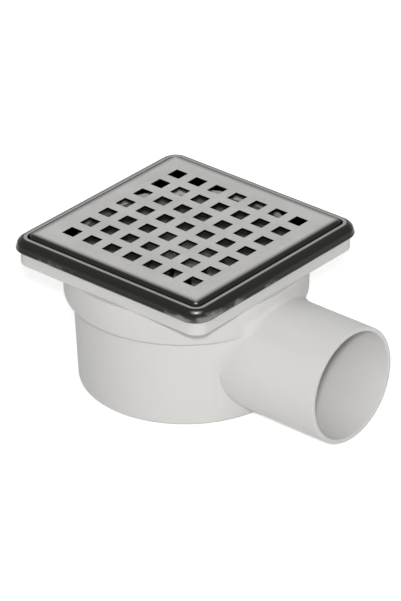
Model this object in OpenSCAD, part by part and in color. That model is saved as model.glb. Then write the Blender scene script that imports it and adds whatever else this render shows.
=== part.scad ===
// Floor gully trap for a 50 mm waste pipe: a low moulded body with a side outlet,
// a square inlet head with a pressed stainless frame and a lift-out grate, and a
// removable water trap that hangs in the neck.
// Origin: centre of the bowl's flat bottom. +X runs along the outlet, +Z is up.

/* [Body] */
// Outside radius of the bowl, just under the collar's shoulder
bowl_r = 46.9; // [46:0.1:47.4]
// Outside radius of the bowl at its foot
foot_r = 45.7; // [45:0.1:46]
// Height of the shoulder where the bowl widens into the collar
shoulder_z = 41; // [39:0.5:42]
// Outside radius of the collar at its upper rim
collar_r = 51.2; // [50.8:0.1:51.6]
// Height of the collar's upper rim, which carries the head
collar_top_z = 54.8; // [54:0.2:56]
// Wall thickness of the plastic mouldings
wall = 2.2; // [1.8:0.1:2.4]
// Thickness of the bowl's floor
floor_t = 1.9; // [1.6:0.1:2.1]

/* [Outlet] */
// Outside radius of the outlet spigot
spigot_r = 25; // [24.5:0.1:25.4]
// Wall thickness of the spigot
spigot_wall = 1.9; // [1.6:0.1:2.4]
// Height of the spigot's axis
spigot_z = 25.3; // [25.2:0.1:26]
// Distance from the bowl's axis to the spigot's mouth
spigot_end = 88; // [80:1:120]

/* [Head] */
// Half width of the head's skirt
skirt_half = 49.7; // [49.4:0.1:49.9]
// Length of the neck that goes down into the collar
neck_depth = 8; // [6:0.5:9]

/* [Frame] */
// Half width of the pressed frame at its widest
frame_half = 51.7; // [51.4:0.1:52]
// Corner radius of the frame
frame_corner = 8.2; // [7.5:0.1:9]
// Height of the frame's flat upper edge
frame_top_z = 66.6; // [66.4:0.1:66.8]
// Thickness of the frame's sheet
frame_sheet = 0.8; // [0.6:0.1:0.9]
// Radius of the round opening in the frame's pan
pan_hole_r = 45; // [44.8:0.1:45.3]

/* [Grate] */
// Half width of the grate
grate_half = 46.2; // [45.9:0.1:46.3]
// Corner radius of the grate
grate_corner = 3.2; // [3:0.1:4]
// Height of the grate's upper face
grate_top_z = 67.9; // [67.5:0.1:68.2]
// Thickness of the grate's sheet
grate_sheet = 1; // [0.8:0.1:1.2]
// Number of holes along each side of the grate
hole_count = 7; // [5:2:7]
// Distance between the centres of neighbouring holes
hole_pitch = 10.9; // [9:0.1:11]
// Width of each square hole
hole_w = 6; // [4:0.5:7]

/* [Trap insert] */
// Inside radius of the dip tube
dip_r = 15.2; // [13:0.2:17]
// Height of the dip tube's lower end
dip_end_z = 14; // [13:0.5:16]
// Outside radius of the cup that holds the water
cup_r = 36; // [34:0.5:37]
// Height of the cup's rim, which sets the water level
cup_rim_z = 38.5; // [36:0.5:40]
// Wall thickness of the insert's mouldings
insert_wall = 1.8; // [1.5:0.1:2]
// Height of the insert's collar, which lines the neck
insert_top_z = 58.4; // [56:0.2:58.8]
// Outside radius of the strainer's dome
dome_r = 20; // [18:0.5:22]
// Height of the strainer's top
dome_top_z = 58; // [56:0.5:60]
// Number of slots round the strainer
slot_count = 12; // [8:1:14]

/* [Hidden] */
$fn = 96;

plastic = [0.84, 0.84, 0.83];
insert_plastic = [0.27, 0.27, 0.27];
steel = [0.74, 0.75, 0.76];
rubber = [0.12, 0.12, 0.13];

// Body: the spigot's root is a little thicker and stops the pipe's socket
foot_fillet = 2;
shoulder_edge = 0.6;
collar_draft = 0.5;
collar_bore = collar_r - wall;
bowl_bore = bowl_r - wall;
foot_bore = foot_r - wall;
socket_z = shoulder_z + wall;
collar_foot_r = collar_r - collar_draft;
spigot_bore = spigot_r - spigot_wall;
mouth_edge = 0.4;
root_r = spigot_r + 0.2;
root_end = collar_r + 1.2;
root_edge = 0.6;

// The head, the frame and the grate share one set of levels
seat_gap = 0.05;
pan_z = frame_top_z - 4.4;
frame_flat = frame_half - frame_corner;

// Frame
frame_round = 3.6;
frame_flare = 0.35;
ledge_w = 5.2;
ledge_edge = 0.5;
lip_z = frame_top_z - 5.2;
lip_reach = 1.2;
curl_r = 0.8;

// Head
fit_gap = 0.2;
neck_r = collar_bore - fit_gap;
neck_wall = 2.6;
neck_bore = neck_r - neck_wall;
neck_lead = 0.6;
neck_end_z = collar_top_z - neck_depth;
shelf_t = 1.6;
shelf_z = neck_end_z + shelf_t;
shelf_bore = 43;
deck_t = 2.4;
deck_z = pan_z - frame_sheet - seat_gap;
deck_foot_z = deck_z - deck_t;
rim_top_z = frame_top_z - frame_sheet - seat_gap;
skirt_edge = 0.6;
rib_t = 2;
sink = 1;

// Grate
grate_round = 2.2;
grate_flat = grate_half - grate_corner;

// Trap insert
seal_t = 1.6;
collar_out_r = neck_bore - 0.4;
collar_in_r = collar_out_r - insert_wall;
collar_lip = 0.8;
flange_z = shelf_z + seal_t;
flange_t = 1.4;
mouth_r = shelf_bore - 0.4;
step_r = mouth_r - insert_wall;
dish_z = shelf_z - 4.2;
dish_edge = 0.6;
step_foot_z = shelf_z + dish_edge;
fin_t = 1.8;
fin_gap = 0.2;
fin_r = cup_r - insert_wall - fin_gap;
fin_foot_z = dip_end_z + 6;
fin_toe = 6;
fin_toe_h = 8;
grip_t = 2.4;
grip_top_z = shelf_z + 4.2;
cup_floor_z = 6.6;
cup_fillet = 4;
cup_draft = 0.4;
cup_edge = 0.6;
bead_z = cup_rim_z - 3;
bead_h = 1.6;
bead_depth = 0.6;
seal_tip_r = neck_bore - 0.05;
seal_foot_r = seal_tip_r - 0.8;
seal_lip = 0.6;

// Strainer
dome_z = dome_top_z - dome_r;
dome_foot_z = dish_z + 1.4;
plug_r = dip_r - 0.15;
plug_depth = 4;
slot_w = 2.4;
slot_top_z = dome_top_z - 3.4;

// Points of an arc, for use inside a polygon
function arc(cx, cy, r, from, to, n = 5) =
    [for (i = [0:n]) let (a = from + (to - from) * i / n) [cx + r * cos(a), cy + r * sin(a)]];

// Sweeps a section round a square with rounded corners and closes the middle with a
// plate. The section's x is measured outwards from the corners' centres, so that
// x = corner lies on the outer face.
module around_square(half, corner, plate_z, plate_t) {
    flat = half - corner;
    for (turn = [0:90:270])
        rotate(turn) translate([flat, flat, 0]) {
            rotate_extrude(angle = 90) children();
            rotate([90, 0, 0]) linear_extrude(2 * flat) children();
        }
    translate([-flat, -flat, plate_z]) cube([2 * flat, 2 * flat, plate_t]);
}

// Turns a shape so that its z runs along the outlet
module along_outlet() {
    translate([0, 0, spigot_z]) rotate([0, 90, 0]) children();
}

module body_outside() {
    rotate_extrude() polygon(concat(
        [[0, 0]],
        arc(foot_r - foot_fillet, foot_fillet, foot_fillet, -90, 0),
        [[bowl_r, shoulder_z], [collar_foot_r - shoulder_edge, shoulder_z],
         [collar_foot_r, shoulder_z + shoulder_edge], [collar_r, collar_top_z], [0, collar_top_z]]
    ));
    along_outlet() rotate_extrude() polygon([
        [0, 0], [root_r, 0], [root_r, root_end - root_edge], [spigot_r, root_end],
        [spigot_r, spigot_end - mouth_edge], [spigot_r - mouth_edge, spigot_end], [0, spigot_end]
    ]);
}

module body_inside() {
    rotate_extrude() polygon(concat(
        [[0, floor_t]],
        arc(foot_bore - foot_fillet, floor_t + foot_fillet, foot_fillet, -90, 0),
        [[bowl_bore, socket_z - wall / 2], [collar_bore, socket_z], [collar_bore, collar_top_z + 1],
         [0, collar_top_z + 1]]
    ));
    along_outlet() cylinder(r = spigot_bore, h = spigot_end + 1);
}

// Bowl, collar and spigot, moulded in one piece
module body() {
    color(plastic) difference() {
        body_outside();
        body_inside();
    }
}

// Section of the head's edge: a skirt, a deck and a rim that the frame wraps round
module head_section() {
    skirt_x = skirt_half - frame_flat;
    rim_x = frame_corner - lip_reach - seat_gap;
    rim_bore_x = frame_corner - ledge_w + frame_sheet + seat_gap;
    rim_round = frame_round - frame_sheet - seat_gap;
    polygon(concat(
        [[0, deck_z], [0, deck_foot_z], [skirt_x - wall, deck_foot_z], [skirt_x - wall, collar_top_z]],
        arc(skirt_x - skirt_edge, collar_top_z + skirt_edge, skirt_edge, -90, 0, 4),
        [[skirt_x, deck_z - (rim_x - skirt_x)], [rim_x, deck_z]],
        arc(rim_x - rim_round, rim_top_z - rim_round, rim_round, 0, 90),
        [[rim_bore_x, rim_top_z], [rim_bore_x, deck_z]]
    ));
}

// Square inlet head: a deck with a round opening, and a neck that is welded into the
// collar, with a shelf for the trap. Ribs run out to the skirt's corners.
module inlet_head() {
    rib_end = frame_flat * sqrt(2) + skirt_half - frame_flat - wall / 2;
    color(plastic) {
        difference() {
            around_square(frame_half, frame_corner, deck_foot_z, deck_t) head_section();
            cylinder(r = neck_bore, h = frame_top_z);
        }
        for (turn = [45:90:315]) rotate(turn)
            translate([neck_bore + sink, -rib_t / 2, collar_top_z])
                cube([rib_end - neck_bore - sink, rib_t, deck_foot_z + sink - collar_top_z]);
        rotate_extrude() polygon([
            [shelf_bore, neck_end_z], [neck_r - neck_lead, neck_end_z], [neck_r, neck_end_z + neck_lead],
            [neck_r, deck_foot_z + sink], [neck_bore, deck_foot_z + sink], [neck_bore, shelf_z],
            [shelf_bore, shelf_z]
        ]);
    }
}

// Section of the frame: a curled lip, an outer wall that flares a little, a rounded
// edge, a flat ledge and an inner wall down to the pan
module frame_section() {
    c = frame_corner;
    s = frame_sheet;
    ledge_in = c - ledge_w;
    round_x = c - frame_flare - frame_round;
    round_z = frame_top_z - frame_round;
    polygon(concat(
        [[c - lip_reach, lip_z]],
        arc(c - curl_r, lip_z + curl_r, curl_r, -90, 0, 4),
        arc(round_x, round_z, frame_round, 0, 90, 8),
        arc(ledge_in + ledge_edge, frame_top_z - ledge_edge, ledge_edge, 90, 180, 3),
        [[ledge_in, pan_z], [0, pan_z], [0, pan_z - s], [ledge_in + s, pan_z - s],
         [ledge_in + s, frame_top_z - s]],
        arc(round_x, round_z, frame_round - s, 90, 0),
        [[c - s, lip_z + s], [c - lip_reach, lip_z + s]]
    ));
}

// Stainless frame, pressed from one sheet, with a square pan and a round opening
module frame() {
    color(steel) difference() {
        around_square(frame_half, frame_corner, pan_z - frame_sheet, frame_sheet) frame_section();
        cylinder(r = pan_hole_r, h = frame_top_z);
    }
}

// Section of the grate's folded rim, with its flat top reaching in to the corners' centres
module grate_section() {
    c = grate_corner;
    s = grate_sheet;
    bend_z = grate_top_z - grate_round;
    polygon(concat(
        [[0, grate_top_z - s], [0, grate_top_z]],
        arc(c - grate_round, bend_z, grate_round, 90, 0, 6),
        [[c, pan_z], [c - s, pan_z]],
        arc(c - grate_round, bend_z, grate_round - s, 0, 90, 4)
    ));
}

// Stainless grate with a grid of square holes, resting on the frame's pan
module grate() {
    span = (hole_count - 1) / 2;
    color(steel) difference() {
        around_square(grate_half, grate_corner, grate_top_z - grate_sheet, grate_sheet) grate_section();
        for (i = [-span:span], j = [-span:span])
            translate([i * hole_pitch, j * hole_pitch, grate_top_z])
                cube([hole_w, hole_w, 4 * grate_sheet], center = true);
    }
}

// Fin on the dip tube, with a toe that leads it into the cup and a notch for the bead
module fin() {
    reach = fin_r - dip_r - insert_wall / 2;
    top_z = dish_z - insert_wall / 2;
    difference() {
        translate([dip_r + insert_wall / 2, fin_t / 2, 0]) rotate([90, 0, 0]) linear_extrude(fin_t)
            polygon([[0, fin_foot_z], [reach - fin_toe, fin_foot_z], [reach, fin_foot_z + fin_toe_h],
                     [reach, top_z], [0, top_z]]);
        rotate_extrude() translate([fin_r - bead_depth, bead_z - bead_h / 2 - fin_gap])
            square([bead_h, bead_h + 2 * fin_gap]);
    }
}

// Grip that stands up from the dish
module grip() {
    from = dome_r + slot_w;
    to = mouth_r - insert_wall / 2;
    slope = (step_foot_z - dish_z) / (step_r - dip_r);
    function dish_middle(r) = dish_z - insert_wall / 2 + slope * (r - dip_r);
    translate([0, grip_t / 2, 0]) rotate([90, 0, 0]) linear_extrude(grip_t)
        polygon([[from, dish_middle(from)], [to, dish_middle(to)], [to, grip_top_z], [from, grip_top_z]]);
}

// Trap funnel: a dish with a dip tube, a collar that lines the neck, three fins that
// hold the cup and two grips to lift it out by
module trap_funnel() {
    w = insert_wall;
    color(insert_plastic) {
        rotate_extrude() polygon([
            [dip_r, dip_end_z], [dip_r + w, dip_end_z], [dip_r + w, dish_z - w],
            [mouth_r, shelf_z - 2 * dish_edge], [mouth_r, flange_z], [collar_out_r, flange_z],
            [collar_out_r, insert_top_z - collar_lip], [collar_out_r - collar_lip / 2, insert_top_z],
            [collar_in_r + collar_lip / 2, insert_top_z], [collar_in_r, insert_top_z - collar_lip],
            [collar_in_r, flange_z + flange_t], [step_r, flange_z + flange_t],
            [step_r, step_foot_z], [dip_r, dish_z]
        ]);
        for (turn = [60:120:300]) rotate(turn) fin();
        for (turn = [0, 180]) rotate(turn) grip();
    }
}

// Trap cup: holds the water round the dip tube and clips onto the fins by a bead
module trap_cup() {
    w = insert_wall;
    bore = cup_r - w;
    foot_x = cup_r - cup_draft - cup_fillet;
    foot_z = cup_floor_z + cup_fillet;
    color(insert_plastic) rotate_extrude() polygon(concat(
        [[0, cup_floor_z]],
        arc(foot_x, foot_z, cup_fillet, -90, 0),
        [[cup_r, cup_rim_z - cup_edge], [cup_r - cup_edge, cup_rim_z], [bore, cup_rim_z],
         [bore, bead_z + bead_h / 2], [bore - bead_depth, bead_z + bead_h / 4],
         [bore - bead_depth, bead_z - bead_h / 4], [bore, bead_z - bead_h / 2]],
        arc(foot_x, foot_z, cup_fillet - w, 0, -90),
        [[0, cup_floor_z + w]]
    ));
}

// Trap seal: a rubber ring on the shelf that carries the funnel, with a lip against the neck
module trap_seal() {
    color(rubber) rotate_extrude() polygon([
        [shelf_bore, shelf_z], [seal_foot_r, shelf_z], [seal_tip_r, shelf_z + seal_lip],
        [seal_tip_r, flange_z - seal_lip / 2], [seal_foot_r, flange_z], [shelf_bore, flange_z]
    ]);
}

// Strainer: a slotted dome that plugs into the dip tube and keeps hair out of the trap
module strainer() {
    w = insert_wall;
    inner = dome_r - w;
    from = asin((dome_foot_z - dome_z) / dome_r);
    inner_from = asin((dome_foot_z + w - dome_z) / inner);
    color(insert_plastic) difference() {
        rotate_extrude() polygon(concat(
            [[plug_r, dome_foot_z - plug_depth], [plug_r, dome_foot_z]],
            arc(0, dome_z, dome_r, from, 90, 10),
            arc(0, dome_z, inner, 90, inner_from, 10),
            [[plug_r - w, dome_foot_z + w], [plug_r - w, dome_foot_z - plug_depth]]
        ));
        for (i = [1:slot_count]) rotate((i + 0.5) * 360 / slot_count)
            translate([dome_r / 2, -slot_w / 2, dome_foot_z + w])
                cube([dome_r, slot_w, slot_top_z - dome_foot_z - w]);
    }
}

body();
inlet_head();
frame();
grate();
strainer();
trap_funnel();
trap_cup();
trap_seal();
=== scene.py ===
"""A floor gully trap: finishes, softened edges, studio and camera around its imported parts."""

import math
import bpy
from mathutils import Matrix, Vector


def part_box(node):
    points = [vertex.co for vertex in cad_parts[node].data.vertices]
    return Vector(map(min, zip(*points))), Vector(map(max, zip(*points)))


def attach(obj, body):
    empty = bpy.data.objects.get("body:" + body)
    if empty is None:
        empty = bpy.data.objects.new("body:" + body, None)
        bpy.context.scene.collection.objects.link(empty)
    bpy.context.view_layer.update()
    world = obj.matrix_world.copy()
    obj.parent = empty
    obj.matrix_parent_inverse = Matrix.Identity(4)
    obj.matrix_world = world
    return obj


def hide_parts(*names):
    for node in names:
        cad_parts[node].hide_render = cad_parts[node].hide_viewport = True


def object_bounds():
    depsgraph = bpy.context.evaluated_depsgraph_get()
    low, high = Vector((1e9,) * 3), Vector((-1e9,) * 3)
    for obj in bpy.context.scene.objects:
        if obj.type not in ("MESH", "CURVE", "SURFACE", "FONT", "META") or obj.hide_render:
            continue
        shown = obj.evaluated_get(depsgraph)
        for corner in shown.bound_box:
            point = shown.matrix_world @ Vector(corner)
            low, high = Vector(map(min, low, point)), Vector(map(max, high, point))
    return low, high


bl_info = {
    "name": "Gully Trap",
    "version": (1, 0, 0),
    "blender": (4, 5, 0),
    "location": "3D View > Sidebar > Gully Trap",
    "description": "Dresses a moulded floor gully trap with its steel frame and grate",
    "category": "Object",
}

import bpy
from mathutils import Matrix, Vector

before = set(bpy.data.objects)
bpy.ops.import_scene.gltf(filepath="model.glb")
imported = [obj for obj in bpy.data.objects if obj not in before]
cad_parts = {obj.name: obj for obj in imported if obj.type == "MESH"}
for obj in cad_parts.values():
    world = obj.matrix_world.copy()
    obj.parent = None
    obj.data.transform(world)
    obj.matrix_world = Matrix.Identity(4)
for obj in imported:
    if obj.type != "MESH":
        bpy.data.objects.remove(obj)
CAD_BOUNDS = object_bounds()
MM = 0.001
BODY = "root"
BOWL_FACETS = 192
SPIGOT_FACETS = 128

# The easing: steps of its hollow face, how much of it is lost over the crown, and the room and
# the least depth that it keeps
EASING_STEPS = 10
CROWN_LOSS = 0.6
RIM_ROOM = 0.8 * MM
LEAST_EASING = 0.3 * MM
WIDENING = (0, 2.4 * MM)
UNDER_WIDENING = (0.5 * MM, 2.2 * MM)
NO_WIDENING = (1, 2)

# Each steel's level, where its flat colour gives way to the bends' painted dark reflection, as
# two heights of its normal, and half its flat width, past which the flat fades into that reflection
FRAME_LEVEL, FRAME_FLAT = (0.98, 0.9995), 60 * MM
GRATE_LEVEL, GRATE_FLAT = (0.86, 0.995), 42.4 * MM
FLAT_FADE = 3.2 * MM

# Lamps: name, azimuth and elevation in degrees, width and height in metres, watts
TARGET = Vector((0.01, 0, 0.035))
LAMP_DISTANCE = 1.7
LAMPS = (
    ("key lamp", 41.4, 33, (0.1, 0.1), 17.5),
    ("right lamp", 85, 35, (0.8, 0.8), 2),
    ("top lamp", 30, 75, (1.0, 1.0), 2),
    ("back lamp", 215, 40, (1.2, 1.2), 7))
STEEL_LAMPS = (
    ("highlight card", 42, 68, (1.2, 1.0), 36),
    ("highlight spot", 42, 66, (0.35, 0.25), 22))
WORLD_LEVEL = 0.27
FLOOR_PAPER = "#f4f4f3"


# ---------------------------------------------------------------- sizes and colours


class GullyTrapBody(bpy.types.PropertyGroup):
    """The moulded body's own sizes, beside those of its box."""

    bowl_radius: bpy.props.FloatProperty(
        name="Bowl radius", description="Outside radius of the bowl under its shoulder",
        default=46.9 * MM, unit="LENGTH", precision=4)
    foot_radius: bpy.props.FloatProperty(
        name="Foot radius", description="Outside radius of the bowl at its foot",
        default=45.7 * MM, unit="LENGTH", precision=4)
    foot_fillet: bpy.props.FloatProperty(
        name="Foot fillet", description="Rounding between the bowl's wall and its floor",
        default=2.0 * MM, unit="LENGTH", precision=4)
    shoulder: bpy.props.FloatProperty(
        name="Shoulder", description="Height at which the bowl widens into the collar",
        default=41.0 * MM, unit="LENGTH", precision=4)
    collar_draft: bpy.props.FloatProperty(
        name="Collar draft", description="How much the collar widens towards its rim",
        default=0.5 * MM, unit="LENGTH", precision=4)
    wall: bpy.props.FloatProperty(
        name="Wall", description="Wall thickness of the bowl and the collar",
        default=2.2 * MM, unit="LENGTH", precision=4)
    floor: bpy.props.FloatProperty(
        name="Floor", description="Thickness of the bowl's floor",
        default=1.9 * MM, unit="LENGTH", precision=4)
    spigot_radius: bpy.props.FloatProperty(
        name="Spigot radius", description="Outside radius of the outlet spigot",
        default=25.0 * MM, unit="LENGTH", precision=4)
    spigot_wall: bpy.props.FloatProperty(
        name="Spigot wall", description="Wall thickness of the outlet spigot",
        default=1.9 * MM, unit="LENGTH", precision=4)
    spigot_axis: bpy.props.FloatProperty(
        name="Spigot axis", description="Height of the outlet spigot's axis",
        default=25.3 * MM, unit="LENGTH", precision=4)
    root_step: bpy.props.FloatProperty(
        name="Root step", description="How much thicker the spigot is at its root",
        default=0.2 * MM, unit="LENGTH", precision=5)
    root_reach: bpy.props.FloatProperty(
        name="Root reach", description="How far the thicker root stands out of the collar",
        default=1.2 * MM, unit="LENGTH", precision=4)
    easing: bpy.props.FloatProperty(
        name="Easing", description="Blend of the spigot's flanks into the bowl and the collar",
        default=6.0 * MM, unit="LENGTH", precision=4)


class GullyTrapSizes(bpy.types.PropertyGroup):
    """How much each edge is softened."""

    plastic_edge: bpy.props.FloatProperty(
        name="Plastic edge", description="Rounding of the mouldings' edges",
        default=0.25 * MM, min=0.05 * MM, max=0.5 * MM, unit="LENGTH", precision=5)
    steel_edge: bpy.props.FloatProperty(
        name="Steel edge", description="Rounding of the punched and cut steel edges",
        default=0.12 * MM, min=0.02 * MM, max=0.3 * MM, unit="LENGTH", precision=5)
    crease: bpy.props.FloatProperty(
        name="Crease", description="Edges sharper than this angle are softened",
        default=math.radians(35), subtype="ANGLE")


class GullyTrapColours(bpy.types.PropertyGroup):
    """The finishes' colours, as sRGB hex values."""

    plastic: bpy.props.StringProperty(
        name="Plastic", description="Moulded ABS of the body and the head", default="#cfcecc")
    insert: bpy.props.StringProperty(
        name="Insert", description="Moulded polypropylene of the trap insert", default="#707070")
    satin: bpy.props.StringProperty(
        name="Satin steel", description="Stainless steel of the grate's flat top",
        default="#b0afad")
    ledge: bpy.props.StringProperty(
        name="Ledge steel", description="Stainless steel of the frame's flat edge",
        default="#929190")
    # Painted dark reflection: the polished bends' dark colour stands for the dark room they mirror
    bend: bpy.props.StringProperty(
        name="Bent steel", description="Polished stainless steel of the drawn and folded edges",
        default="#2b2b2a")
    # Painted reflection: lighter grey patches on the polished walls, mostly low down
    reflection_patches: bpy.props.StringProperty(
        name="Rubbed steel", description="Stainless steel where the polish is rubbed off",
        default="#7f7e7c")
    rubber: bpy.props.StringProperty(
        name="Rubber", description="EPDM rubber of the trap's seal", default="#1d1d1e")


class GullyTrapStudio(bpy.types.PropertyGroup):
    """The camera and the lamps."""

    azimuth: bpy.props.FloatProperty(
        name="Azimuth", description="Camera's angle round the part", default=math.radians(41.362),
        subtype="ANGLE")
    elevation: bpy.props.FloatProperty(
        name="Elevation", description="Camera's angle above the horizon",
        default=math.radians(29.439), subtype="ANGLE")
    roll: bpy.props.FloatProperty(
        name="Roll", description="Camera's turn about its own axis", default=math.radians(-0.99),
        subtype="ANGLE")
    distance: bpy.props.FloatProperty(
        name="Distance", description="From the camera to the part", default=1.7768, unit="LENGTH")
    aim_right: bpy.props.FloatProperty(
        name="Aim right", description="Where the camera aims, to the right of the origin",
        default=5.689 * MM, unit="LENGTH", precision=5)
    aim_up: bpy.props.FloatProperty(
        name="Aim up", description="Where the camera aims, above the origin",
        default=28.721 * MM, unit="LENGTH", precision=5)
    lens: bpy.props.FloatProperty(
        name="Lens", description="Focal length on a 36 mm sensor", default=255.14, unit="CAMERA")
    floor_lift: bpy.props.FloatProperty(
        name="Floor lift", default=0.48,
        description="Light added to the floor where it is seen, so that it is white")


# ---------------------------------------------------------------- small helpers


def linear(hex_value):
    """An sRGB hex value such as "#d6d5d2" as a linear colour with alpha 1."""
    channels = [int(hex_value[i:i + 2], 16) / 255 for i in (1, 3, 5)]
    return [c / 12.92 if c <= 0.04045 else ((c + 0.055) / 1.055) ** 2.4 for c in channels] + [1.0]


def add(tree, kind, settings=None, inputs=None):
    """Adds a node with its settings. An input is a value, or the socket that it is linked from."""
    added = tree.nodes.new(kind)
    for name, value in (settings or {}).items():
        setattr(added, name, value)
    for name, value in (inputs or {}).items():
        if isinstance(value, bpy.types.NodeSocket):
            tree.links.new(value, added.inputs[name])
        else:
            added.inputs[name].default_value = value
    return added


def new_material(name):
    """An empty node material with its output, and the object's coordinates."""
    material = bpy.data.materials.new(name)
    material.use_nodes = True
    tree = material.node_tree
    tree.nodes.clear()
    place = add(tree, "ShaderNodeTexCoord").outputs["Object"]
    return material, tree, place


def finish_surface(tree, shader):
    """Links a shader to the material's output."""
    add(tree, "ShaderNodeOutputMaterial", inputs={"Surface": shader.outputs["BSDF"]})


def toned(hex_value, factor):
    """A hex colour as linear, made darker or lighter by a factor."""
    return [min(c * factor, 1) for c in linear(hex_value)[:3]] + [1.0]


def steel_collection():
    """The collection of the steel pieces, which the highlight lamps are kept to."""
    return bpy.data.collections.get("steel") or bpy.data.collections.new("steel")


def per_metre(size_mm):
    """The scale of a noise whose cells are this wide."""
    return 1000 / size_mm


def only(piece):
    """Selects one object and makes it active."""
    bpy.ops.object.select_all(action="DESELECT")
    piece.select_set(True)
    bpy.context.view_layer.objects.active = piece


def apply_modifiers(piece):
    """Applies every modifier, in order."""
    only(piece)
    for modifier in list(piece.modifiers):
        bpy.ops.object.modifier_apply(modifier=modifier.name)


def merged_copy(node, name):
    """A copy of a part's mesh with its loose triangles joined and its flat faces made whole."""
    piece = bpy.data.objects.new(name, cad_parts[node].data.copy())
    bpy.context.scene.collection.objects.link(piece)
    only(piece)
    bpy.ops.object.mode_set(mode="EDIT")
    bpy.ops.mesh.select_all(action="SELECT")
    bpy.ops.mesh.remove_doubles(threshold=0.002 * MM)
    bpy.ops.mesh.dissolve_limited(angle_limit=math.radians(0.3))
    bpy.ops.object.mode_set(mode="OBJECT")
    bpy.ops.mesh.customdata_custom_splitnormals_clear()
    return piece


def soften(piece, width, crease, segments=2):
    """Rounds the sharp edges and shades the rest smooth, with the flat faces kept flat."""
    bevel = piece.modifiers.new("soft edges", "BEVEL")
    bevel.width = width
    bevel.segments = segments
    bevel.limit_method = "ANGLE"
    bevel.angle_limit = crease
    apply_modifiers(piece)
    bpy.ops.object.shade_smooth_by_angle(angle=math.radians(40))
    piece.modifiers.new("flat faces", "WEIGHTED_NORMAL").keep_sharp = True
    apply_modifiers(piece)


def arc(centre_r, centre_z, radius, start, end, steps=6):
    """Rings of a profile along an arc, between two angles in degrees."""
    angles = [math.radians(start + (end - start) * i / steps) for i in range(steps + 1)]
    return [(centre_r + radius * math.cos(a), centre_z + radius * math.sin(a)) for a in angles]


def lathe(name, rings, segments):
    """Draws a disc up the axis through the rings of a profile, each a radius and a height."""
    bpy.ops.object.select_all(action="DESELECT")
    radius, height = rings[0]
    bpy.ops.mesh.primitive_circle_add(
        vertices=segments, radius=radius, fill_type="NGON", location=(0, 0, 0))
    piece = bpy.context.object
    piece.name = name
    bpy.ops.object.mode_set(mode="EDIT")
    bpy.ops.mesh.select_all(action="SELECT")
    bpy.ops.transform.translate(value=(0, 0, height))
    for next_radius, next_height in rings[1:]:
        bpy.ops.mesh.extrude_region_move(
            TRANSFORM_OT_translate={"value": (0, 0, next_height - height)})
        ratio = next_radius / radius
        bpy.ops.transform.resize(value=(ratio, ratio, 1), center_override=(0, 0, next_height))
        radius, height = next_radius, next_height
    bpy.ops.mesh.select_all(action="SELECT")
    bpy.ops.mesh.normals_make_consistent(inside=False)
    bpy.ops.object.mode_set(mode="OBJECT")
    return piece


def combine(piece, tool, operation):
    """Joins a piece with another or cuts it, and removes the other."""
    boolean = piece.modifiers.new(operation.lower(), "BOOLEAN")
    boolean.operation = operation
    boolean.object = tool
    apply_modifiers(piece)
    bpy.data.objects.remove(tool)


def dress(piece, node, slot, material):
    """Makes the piece stand for its part, in the part's body, with one material."""
    piece.data.materials.clear()
    piece.data.materials.append(material)
    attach(piece, BODY)
    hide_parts(node)
    if slot.endswith("steel"):
        steel_collection().objects.link(piece)


# ---------------------------------------------------------------- materials


def moulded_abs(name, colours):
    """The body's and the head's ABS, with a dull sheen."""
    return moulded_plastic(name, colours.plastic, 0.58, 0.7)


def moulded_plastic(name, colour, glossiest, dullest):
    """Injection-moulded thermoplastic: opaque, with a fine spark-eroded grain and faint tones."""
    material, tree, place = new_material(name)
    flow = add(tree, "ShaderNodeTexNoise", inputs={
        "Vector": place, "Scale": per_metre(35), "Detail": 3.0, "Roughness": 0.55})
    tone = add(tree, "ShaderNodeMix", {"data_type": "RGBA"}, {
        "Factor": flow.outputs["Fac"], "A": toned(colour, 0.955), "B": toned(colour, 1.035)})
    # The grain of the mould is about 0.1 mm; it is drawn at 0.5 mm, which is as fine as shows
    grain = add(tree, "ShaderNodeTexNoise", inputs={
        "Vector": place, "Scale": per_metre(0.5), "Detail": 2.0})
    sheen = add(tree, "ShaderNodeMapRange", inputs={
        "Value": flow.outputs["Fac"], "To Min": glossiest, "To Max": dullest})
    bump = add(tree, "ShaderNodeBump", inputs={
        "Strength": 0.25, "Distance": 0.03 * MM, "Height": grain.outputs["Fac"]})
    shader = add(tree, "ShaderNodeBsdfPrincipled", inputs={
        "Base Color": tone.outputs["Result"], "Roughness": sheen.outputs["Result"], "IOR": 1.53,
        "Normal": bump.outputs["Normal"]})
    finish_surface(tree, shader)
    return material


def reflection_patch_mask(tree, place, axes, foot, top):
    """Patches of painted reflection, most at the walls' feet and round one corner."""
    # Patches of painted reflection are about 8 mm long and 3 mm high
    stretched = add(tree, "ShaderNodeMapping", inputs={"Vector": place, "Scale": (1.0, 1.0, 2.5)})
    patches = add(tree, "ShaderNodeTexNoise", inputs={
        "Vector": stretched.outputs["Vector"], "Scale": per_metre(8), "Detail": 3.0,
        "Roughness": 0.5})
    low = add(tree, "ShaderNodeMapRange", inputs={
        "Value": axes.outputs["Z"], "From Min": top, "From Max": foot,
        "To Min": -0.3, "To Max": 0.16})
    # Painted reflection gathers most at the corner at +X and -Y, and further along the outlet's
    # side than the other
    along = add(tree, "ShaderNodeVectorMath", {"operation": "DOT_PRODUCT"}, {
        0: place, 1: (1.6, -0.8, 0.0)})
    corner = add(tree, "ShaderNodeMapRange", inputs={
        "Value": along.outputs["Value"], "From Min": 92 * MM, "From Max": 118 * MM,
        "To Min": -0.14, "To Max": 0.12})
    at_foot = add(tree, "ShaderNodeMath", {"operation": "ADD"}, {
        0: patches.outputs["Fac"], 1: low.outputs["Result"]})
    # How much painted reflection shows in each patch
    reflection_amount = add(tree, "ShaderNodeMath", {"operation": "ADD"}, {
        0: at_foot.outputs["Value"], 1: corner.outputs["Result"]})
    return add(tree, "ShaderNodeMapRange", {"interpolation_type": "SMOOTHSTEP"}, {
        "Value": reflection_amount.outputs["Value"], "From Min": 0.46, "From Max": 0.74}).outputs["Result"]


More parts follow.
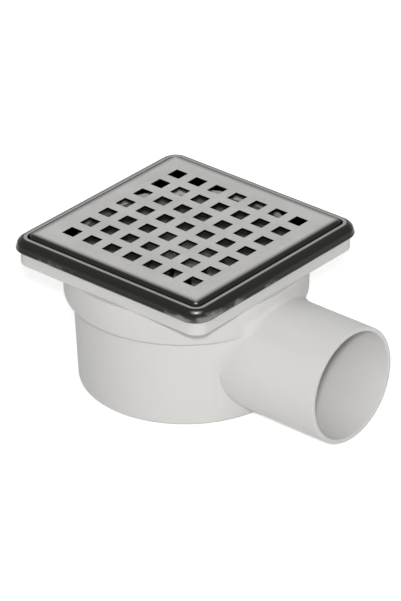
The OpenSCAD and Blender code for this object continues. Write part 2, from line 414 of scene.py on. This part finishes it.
def flat_mask(tree, axes, facing, top, level, flat_half):
    """The satin top inside its rolled edge. The bends round it keep their painted dark reflection,
    and the pan below keeps the dark colour as painted shade.
    """
    satin = add(tree, "ShaderNodeMapRange", {"interpolation_type": "SMOOTHSTEP"}, {
        "Value": facing.outputs["Z"], "From Min": level[0], "From Max": level[1]})
    sides = [add(tree, "ShaderNodeMath", {"operation": "ABSOLUTE"}, {0: axes.outputs[axis]})
             for axis in "XY"]
    reach = add(tree, "ShaderNodeMath", {"operation": "MAXIMUM"}, {
        0: sides[0].outputs["Value"], 1: sides[1].outputs["Value"]})
    # Painted dark reflection: past flat_half the satin fades into the dark colour of the bends
    inside = add(tree, "ShaderNodeMapRange", {"interpolation_type": "SMOOTHSTEP"}, {
        "Value": reach.outputs["Value"], "From Min": flat_half, "From Max": flat_half + FLAT_FADE,
        "To Min": 1.0, "To Max": 0.0})
    # Painted shade: below the top, the satin gives way to the dark colour
    upper = add(tree, "ShaderNodeMapRange", inputs={
        "Value": axes.outputs["Z"], "From Min": top - 3 * MM, "From Max": top - 2 * MM})
    satin_inside = add(tree, "ShaderNodeMath", {"operation": "MULTIPLY"}, {
        0: satin.outputs["Result"], 1: inside.outputs["Result"]})
    return add(tree, "ShaderNodeMath", {"operation": "MULTIPLY"}, {
        0: satin_inside.outputs["Value"], 1: upper.outputs["Result"]}).outputs["Value"]


def pressed_steel(name, flat_colour, bend_reflection_colour, patch_reflection_colour, box, level, flat_half):
    """Stainless sheet: satin and mottled where flat, drawn to a polish at its bends and walls,
    which carry a painted dark reflection.

    The bends' dark colour is a painted reflection of dark surroundings, and their crisp highlights
    come from the lamps. The walls take a lighter painted reflection, and grey patches of painted
    reflection gather at their feet and round one corner. The satin comes in where the normal's
    height passes from level[0] to level[1], and further than flat_half from the middle it fades
    into the painted dark reflection. Below the top, the pan keeps the dark colour
    as painted shade.
    """
    foot, top = box[0][2], box[1][2]
    material, tree, place = new_material(name)
    axes = add(tree, "ShaderNodeSeparateXYZ", inputs={"Vector": place})
    facing = add(tree, "ShaderNodeSeparateXYZ", inputs={
        "Vector": add(tree, "ShaderNodeTexCoord").outputs["Normal"]})
    # Rolled sheet has a grain of about 0.3 mm; it is drawn at 1.2 mm so that it shows
    grain = add(tree, "ShaderNodeTexNoise", inputs={
        "Vector": place, "Scale": per_metre(1.2), "Detail": 4.0, "Roughness": 0.7})
    clouds = add(tree, "ShaderNodeTexNoise", inputs={
        "Vector": place, "Scale": per_metre(14), "Detail": 4.0})
    mottle = add(tree, "ShaderNodeMath", {"operation": "ADD"}, {
        0: grain.outputs["Fac"], 1: clouds.outputs["Fac"]})
    shade = add(tree, "ShaderNodeMapRange", inputs={
        "Value": mottle.outputs["Value"], "From Min": 0.7, "From Max": 1.3,
        "To Min": 0.9, "To Max": 1.08})
    flat = add(tree, "ShaderNodeVectorMath", {"operation": "SCALE"}, {
        0: linear(flat_colour)[:3], "Scale": shade.outputs["Result"]})
    # An upright wall takes a lighter painted reflection, of a paler room, than a bend does
    upright = add(tree, "ShaderNodeMapRange", inputs={
        "Value": facing.outputs["Z"], "From Max": 0.5, "To Min": 1.8, "To Max": 1.0})
    painted_reflection = add(tree, "ShaderNodeVectorMath", {"operation": "SCALE"}, {
        0: linear(bend_reflection_colour)[:3], "Scale": upright.outputs["Result"]})
    # Patches of painted reflection over the walls' painted dark reflection
    wall = add(tree, "ShaderNodeMix", {"data_type": "RGBA"}, {
        "Factor": reflection_patch_mask(tree, place, axes, foot, top), "A": painted_reflection.outputs["Vector"],
        "B": linear(patch_reflection_colour)})
    flatness = flat_mask(tree, axes, facing, top, level, flat_half)
    tone = add(tree, "ShaderNodeMix", {"data_type": "RGBA"}, {
        "Factor": flatness, "A": wall.outputs["Result"], "B": flat.outputs["Vector"]})
    gloss = add(tree, "ShaderNodeMapRange", inputs={
        "Value": flatness, "To Min": 0.24, "To Max": 0.38})
    bump = add(tree, "ShaderNodeBump", inputs={
        "Strength": 0.15, "Distance": 0.02 * MM, "Height": grain.outputs["Fac"]})
    shader = add(tree, "ShaderNodeBsdfPrincipled", inputs={
        "Base Color": tone.outputs["Result"], "Metallic": 1.0, "Roughness": gloss.outputs["Result"],
        "Normal": bump.outputs["Normal"]})
    finish_surface(tree, shader)
    return material


def epdm_rubber(name, colour):
    """Moulded EPDM: near black, matt, with a faint grain."""
    material, tree, place = new_material(name)
    grain = add(tree, "ShaderNodeTexNoise", inputs={
        "Vector": place, "Scale": per_metre(0.6), "Detail": 2.0})
    bump = add(tree, "ShaderNodeBump", inputs={
        "Strength": 0.3, "Distance": 0.02 * MM, "Height": grain.outputs["Fac"]})
    shader = add(tree, "ShaderNodeBsdfPrincipled", inputs={
        "Base Color": linear(colour), "Roughness": 0.75, "IOR": 1.52,
        "Normal": bump.outputs["Normal"]})
    finish_surface(tree, shader)
    return material


# ---------------------------------------------------------------- operators


class GULLY_OT_body(bpy.types.Operator):
    """Model the moulded body: bowl, collar and spigot, eased into each other"""

    bl_idname = "gully.body"
    bl_label = "Body"

    def execute(self, context):
        body, colours = context.scene.gully_body, context.scene.gully_colours
        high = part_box("body")[1]
        collar, rim, mouth = high[1], high[2], high[0]
        edge = context.scene.gully_sizes.plastic_edge

        piece = self.bowl(body, collar, rim, edge)
        combine(piece, self.spigot(body, collar, mouth, edge), "UNION")
        combine(piece, self.bowl_bore(body, collar, rim, edge), "DIFFERENCE")
        combine(piece, self.spigot_bore(body, mouth, edge), "DIFFERENCE")
        combine(piece, self.easing(body, collar, rim), "UNION")
        only(piece)
        bpy.ops.object.mode_set(mode="EDIT")
        bpy.ops.mesh.select_all(action="SELECT")
        bpy.ops.mesh.remove_doubles(threshold=0.01 * MM)
        bpy.ops.object.mode_set(mode="OBJECT")
        bpy.ops.object.shade_smooth_by_angle(angle=math.radians(32))
        dress(piece, "body", "body_plastic", moulded_abs("moulded ABS body", colours))
        return {"FINISHED"}

    def bowl(self, body, collar, rim, edge):
        """The solid bowl and collar, with a soft shoulder and rim."""
        foot = collar - body.collar_draft
        rings = arc(body.foot_radius - body.foot_fillet, body.foot_fillet, body.foot_fillet, -90, 0)
        rings += [(body.bowl_radius, body.shoulder)]
        rings += arc(foot - edge, body.shoulder + edge, edge, -90, 0, 3)
        rings += arc(collar - edge, rim - edge, edge, 0, 90, 3)
        return lathe("moulded_body", rings, BOWL_FACETS)

    def bowl_bore(self, body, collar, rim, edge):
        """The space inside the bowl and the collar."""
        foot, bowl, neck = (r - body.wall for r in (body.foot_radius, body.bowl_radius, collar))
        socket = body.shoulder + body.wall
        fillet = body.foot_fillet
        rings = arc(foot - fillet, body.floor + fillet, fillet, -90, 0)
        rings += [(bowl, socket - body.wall / 2), (neck, socket), (neck, rim - edge)]
        rings += [(neck + edge, rim), (neck + edge, rim + 1 * MM)]
        return lathe("bowl bore", rings, BOWL_FACETS)

    def spigot(self, body, collar, mouth, edge):
        """The solid spigot, with its thicker root."""
        root, root_end = body.spigot_radius + body.root_step, collar + body.root_reach
        rings = [(root, 0), (root, root_end - 3 * body.root_step), (body.spigot_radius, root_end)]
        rings += arc(body.spigot_radius - edge, mouth - edge, edge, 0, 90, 3)
        return self.along_outlet(body, lathe("spigot", rings, SPIGOT_FACETS))

    def spigot_bore(self, body, mouth, edge):
        """The waterway through the spigot, with a soft edge at the mouth."""
        bore = body.spigot_radius - body.spigot_wall
        rings = [(bore, 0), (bore, mouth - edge), (bore + edge / 3, mouth - edge / 3)]
        rings += [(bore + edge, mouth), (bore + edge, mouth + 1 * MM)]
        return self.along_outlet(body, lathe("spigot bore", rings, SPIGOT_FACETS))

    def along_outlet(self, body, piece):
        """Lays a lathed piece along the outlet."""
        piece.rotation_euler = (0, math.radians(90), 0)
        piece.location = (0, 0, body.spigot_axis)
        only(piece)
        bpy.ops.object.transform_apply(location=True, rotation=True, scale=False)
        return piece

    def easing(self, body, collar, rim):
        """A hollow-sided web round the spigot's root that fades out under its sides."""
        bpy.ops.object.select_all(action="DESELECT")
        around = EASING_STEPS + 4
        bpy.ops.mesh.primitive_torus_add(major_segments=SPIGOT_FACETS, minor_segments=around)
        piece = bpy.context.object

        def ramp(value, start, end):
            t = min(max((value - start) / (end - start), 0), 1)
            return t * t * (3 - 2 * t)

        def wall_face(angle, radius, depth=0, widening=WIDENING):
            """How far the bowl's face, or a depth under it, is at a point round the spigot."""
            height = body.spigot_axis + radius * math.sin(angle)
            bowl = body.foot_radius + (body.bowl_radius - body.foot_radius) * height / body.shoulder
            rise = min(max((height - body.shoulder) / (rim - body.shoulder), 0), 1)
            upper = collar - body.collar_draft * (1 - rise)
            wide = ramp(height - body.shoulder, *widening)
            at_height = bowl + (upper - bowl) * wide - depth
            return math.sqrt(at_height ** 2 - (radius * math.cos(angle)) ** 2)

        low, inner = body.spigot_radius, body.spigot_radius - 1.2 * MM
        step = collar - body.collar_draft - body.bowl_radius
        for i in range(SPIGOT_FACETS):
            angle = 2 * math.pi * i / SPIGOT_FACETS
            side = math.sin(angle)
            fade = ramp(side, -0.5, 0.4)
            easing = body.easing * (1 - CROWN_LOSS * ramp(side, 0.7, 0.98))
            room = (rim - RIM_ROOM - body.spigot_axis) / max(side, 0.5) - body.spigot_radius
            high = low + max(min(easing, room) * fade, LEAST_EASING)
            # Where it has faded out, it lies under the faces of the wall and the spigot
            sink = 0.8 * MM * (1 - fade) + 0.03 * MM
            corner = wall_face(angle, low)
            bowl = wall_face(angle, low, widening=NO_WIDENING)
            end = max(bowl + (step + easing) * fade, corner + LEAST_EASING)
            section = []
            for j in range(EASING_STEPS + 1):
                t = j / EASING_STEPS
                x = (1 - t) ** 2 * end + 2 * t * (1 - t) * corner + t * t * wall_face(angle, high)
                section.append((x - sink, (1 - t * t) * low + t * t * high - sink))
            under = (body.wall - 0.4 * MM, UNDER_WIDENING)
            section += [
                (wall_face(angle, high, *under), high - sink),
                (wall_face(angle, inner, *under), inner), (end - sink, inner)]
            for j, (x, radius) in enumerate(section):
                height = body.spigot_axis + radius * math.sin(angle)
                piece.data.vertices[i * around + j].co = (x, radius * math.cos(angle), height)
        only(piece)
        bpy.ops.object.mode_set(mode="EDIT")
        bpy.ops.mesh.select_all(action="SELECT")
        bpy.ops.mesh.normals_make_consistent(inside=False)
        bpy.ops.object.mode_set(mode="OBJECT")
        return piece


class GULLY_OT_head(bpy.types.Operator):
    """Dress the inlet head"""

    bl_idname = "gully.head"
    bl_label = "Inlet head"

    def execute(self, context):
        sizes, colours = context.scene.gully_sizes, context.scene.gully_colours
        piece = merged_copy("inlet_head", "moulded_head")
        soften(piece, sizes.plastic_edge, sizes.crease)
        dress(piece, "inlet_head", "body_plastic", moulded_abs("moulded ABS head", colours))
        return {"FINISHED"}


class GULLY_OT_frame(bpy.types.Operator):
    """Dress the pressed frame"""

    bl_idname = "gully.frame"
    bl_label = "Frame"

    def execute(self, context):
        sizes, colours = context.scene.gully_sizes, context.scene.gully_colours
        piece = merged_copy("frame", "pressed_frame")
        soften(piece, sizes.steel_edge, sizes.crease)
        # The bends take a painted dark reflection, and the walls patches of painted reflection
        dress(piece, "frame", "polished_steel", pressed_steel(
            "drawn stainless steel", colours.ledge, colours.bend, colours.reflection_patches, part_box("frame"),
            FRAME_LEVEL, FRAME_FLAT))
        return {"FINISHED"}


class GULLY_OT_grate(bpy.types.Operator):
    """Dress the grate"""

    bl_idname = "gully.grate"
    bl_label = "Grate"

    def execute(self, context):
        sizes, colours = context.scene.gully_sizes, context.scene.gully_colours
        piece = merged_copy("grate", "folded_grate")
        soften(piece, sizes.steel_edge, sizes.crease)
        # The grate's bends take a painted dark reflection, with no patches
        dress(piece, "grate", "satin_steel", pressed_steel(
            "satin stainless steel", colours.satin, colours.bend, colours.bend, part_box("grate"),
            GRATE_LEVEL, GRATE_FLAT))
        return {"FINISHED"}


class GULLY_OT_trap(bpy.types.Operator):
    """Dress the trap insert: strainer, funnel, cup and seal"""

    bl_idname = "gully.trap"
    bl_label = "Trap insert"

    def execute(self, context):
        sizes, colours = context.scene.gully_sizes, context.scene.gully_colours
        polypropylene = moulded_plastic("moulded polypropylene", colours.insert, 0.2, 0.3)
        for node in ("strainer", "trap_funnel", "trap_cup"):
            piece = merged_copy(node, "moulded_" + node)
            soften(piece, sizes.plastic_edge, sizes.crease)
            dress(piece, node, "insert_plastic", polypropylene)
        seal = merged_copy("trap_seal", "rubber_seal")
        soften(seal, sizes.steel_edge, sizes.crease)
        dress(seal, "trap_seal", "seal_rubber", epdm_rubber("EPDM rubber", colours.rubber))
        return {"FINISHED"}


def direction(azimuth, elevation):
    """A unit vector towards an azimuth and an elevation."""
    level = math.cos(elevation)
    return Vector((math.sin(azimuth) * level, -math.cos(azimuth) * level, math.sin(elevation)))


def seen(tree):
    """1 for the rays that show the background, directly or in metal and glass, and 0 for light."""
    path = add(tree, "ShaderNodeLightPath")
    rays = add(tree, "ShaderNodeMath", {"operation": "MAXIMUM"}, {
        0: path.outputs["Is Camera Ray"], 1: path.outputs["Is Glossy Ray"]})
    return add(tree, "ShaderNodeMath", {"operation": "MAXIMUM"}, {
        0: rays.outputs["Value"], 1: path.outputs["Is Transmission Ray"]}).outputs["Value"]


def area_lamp(name, azimuth, elevation, size, watts):
    """A soft oblong lamp that faces the part."""
    place = TARGET + direction(math.radians(azimuth), math.radians(elevation)) * LAMP_DISTANCE
    lamp = bpy.data.objects.new(name, bpy.data.lights.new(name, "AREA"))
    lamp.data.shape = "RECTANGLE"
    lamp.data.size, lamp.data.size_y = size
    lamp.data.energy = watts
    lamp.location = place
    lamp.rotation_euler = (TARGET - place).to_track_quat("-Z", "Y").to_euler()
    bpy.context.scene.collection.objects.link(lamp)
    return lamp


class GULLY_OT_stage(bpy.types.Operator):
    """Set up the floor, the lamps and the camera"""

    bl_idname = "gully.stage"
    bl_label = "Stage"

    def execute(self, context):
        studio = context.scene.gully_studio
        context.scene.view_settings.view_transform = "Standard"
        self.floor(context, studio)
        self.world(context)
        self.lamps()
        self.camera(studio)
        return {"FINISHED"}

    def floor(self, context, studio):
        """A floor that is white where it is seen, and keeps the object's shadow."""
        bpy.ops.object.select_all(action="DESELECT")
        bpy.ops.mesh.primitive_plane_add(size=30, location=(0, 0, CAD_BOUNDS[0][2]))
        floor = context.object
        floor.name = "floor"
        material, tree, _ = new_material("white studio floor")
        paper = add(tree, "ShaderNodeBsdfDiffuse", inputs={"Color": linear(FLOOR_PAPER)})
        lift = add(tree, "ShaderNodeMath", {"operation": "MULTIPLY"}, {
            0: seen(tree), 1: studio.floor_lift})
        glow = add(tree, "ShaderNodeEmission", inputs={
            "Color": (1, 1, 1, 1), "Strength": lift.outputs["Value"]})
        both = add(tree, "ShaderNodeAddShader", inputs={
            0: paper.outputs["BSDF"], 1: glow.outputs["Emission"]})
        add(tree, "ShaderNodeOutputMaterial", inputs={"Surface": both.outputs["Shader"]})
        floor.data.materials.append(material)

    def world(self, context):
        """A white room where it is seen, which lights the part at a plain level."""
        world = bpy.data.worlds.new("studio")
        world.use_nodes = True
        tree = world.node_tree
        tree.nodes.clear()
        strength = add(tree, "ShaderNodeMapRange", inputs={
            "Value": seen(tree), "To Min": WORLD_LEVEL, "To Max": 1.0})
        light = add(tree, "ShaderNodeBackground", inputs={
            "Color": (1, 1, 1, 1), "Strength": strength.outputs["Result"]})
        add(tree, "ShaderNodeOutputWorld", inputs={"Surface": light.outputs["Background"]})
        context.scene.world = world

    def lamps(self):
        """A small lamp just above the camera, and wide soft ones round the part.

        Those are left out of reflections. The card and the spot make the steel's highlights, and
        light nothing else.
        """
        for lamp in LAMPS:
            area_lamp(*lamp).visible_glossy = False
        for lamp in STEEL_LAMPS:
            card = area_lamp(*lamp)
            card.visible_diffuse = False
            card.light_linking.receiver_collection = steel_collection()

    def camera(self, studio):
        """Places the camera by its angles, its distance and where it aims."""
        roll = studio.roll
        back = direction(studio.azimuth, studio.elevation)
        right = Vector((math.cos(studio.azimuth), math.sin(studio.azimuth), 0))
        up = back.cross(right)
        place = back * studio.distance + right * studio.aim_right + up * studio.aim_up
        rolled_right = right * math.cos(roll) + up * math.sin(roll)
        rolled_up = up * math.cos(roll) - right * math.sin(roll)
        camera = bpy.data.objects.new("camera", bpy.data.cameras.new("camera"))
        camera.data.lens = studio.lens
        camera.data.sensor_width = 36
        camera.data.clip_end = 100
        turn = Matrix((rolled_right, rolled_up, back)).transposed().to_4x4()
        camera.matrix_world = Matrix.Translation(place) @ turn
        bpy.context.scene.collection.objects.link(camera)
        bpy.context.scene.camera = camera


class GULLY_PT_panel(bpy.types.Panel):
    """Builds the gully trap's finishes from the sidebar"""

    bl_idname = "GULLY_PT_panel"
    bl_label = "Gully Trap"
    bl_space_type = "VIEW_3D"
    bl_region_type = "UI"
    bl_category = "Gully Trap"

    def draw(self, context):
        layout = self.layout
        for name in GROUPS:
            group = getattr(context.scene, name)
            box = layout.box()
            for setting in group.__annotations__:
                box.prop(group, setting)
        for operator in OPERATORS:
            layout.operator(operator.bl_idname)


GROUPS = {
    "gully_body": GullyTrapBody, "gully_sizes": GullyTrapSizes,
    "gully_colours": GullyTrapColours, "gully_studio": GullyTrapStudio}
OPERATORS = (
    GULLY_OT_body, GULLY_OT_head, GULLY_OT_frame, GULLY_OT_grate, GULLY_OT_trap, GULLY_OT_stage)
CLASSES = (*GROUPS.values(), *OPERATORS, GULLY_PT_panel)


def register():
    for cls in CLASSES:
        bpy.utils.register_class(cls)
    for name, group in GROUPS.items():
        setattr(bpy.types.Scene, name, bpy.props.PointerProperty(type=group))


def unregister():
    for name in GROUPS:
        delattr(bpy.types.Scene, name)
    for cls in reversed(CLASSES):
        bpy.utils.unregister_class(cls)


def main():
    """Registers the add-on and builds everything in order."""
    register()
    bpy.ops.gully.stage()
    bpy.ops.gully.body()
    bpy.ops.gully.head()
    bpy.ops.gully.frame()
    bpy.ops.gully.grate()
    bpy.ops.gully.trap()


if __name__ == "__main__":
    main()
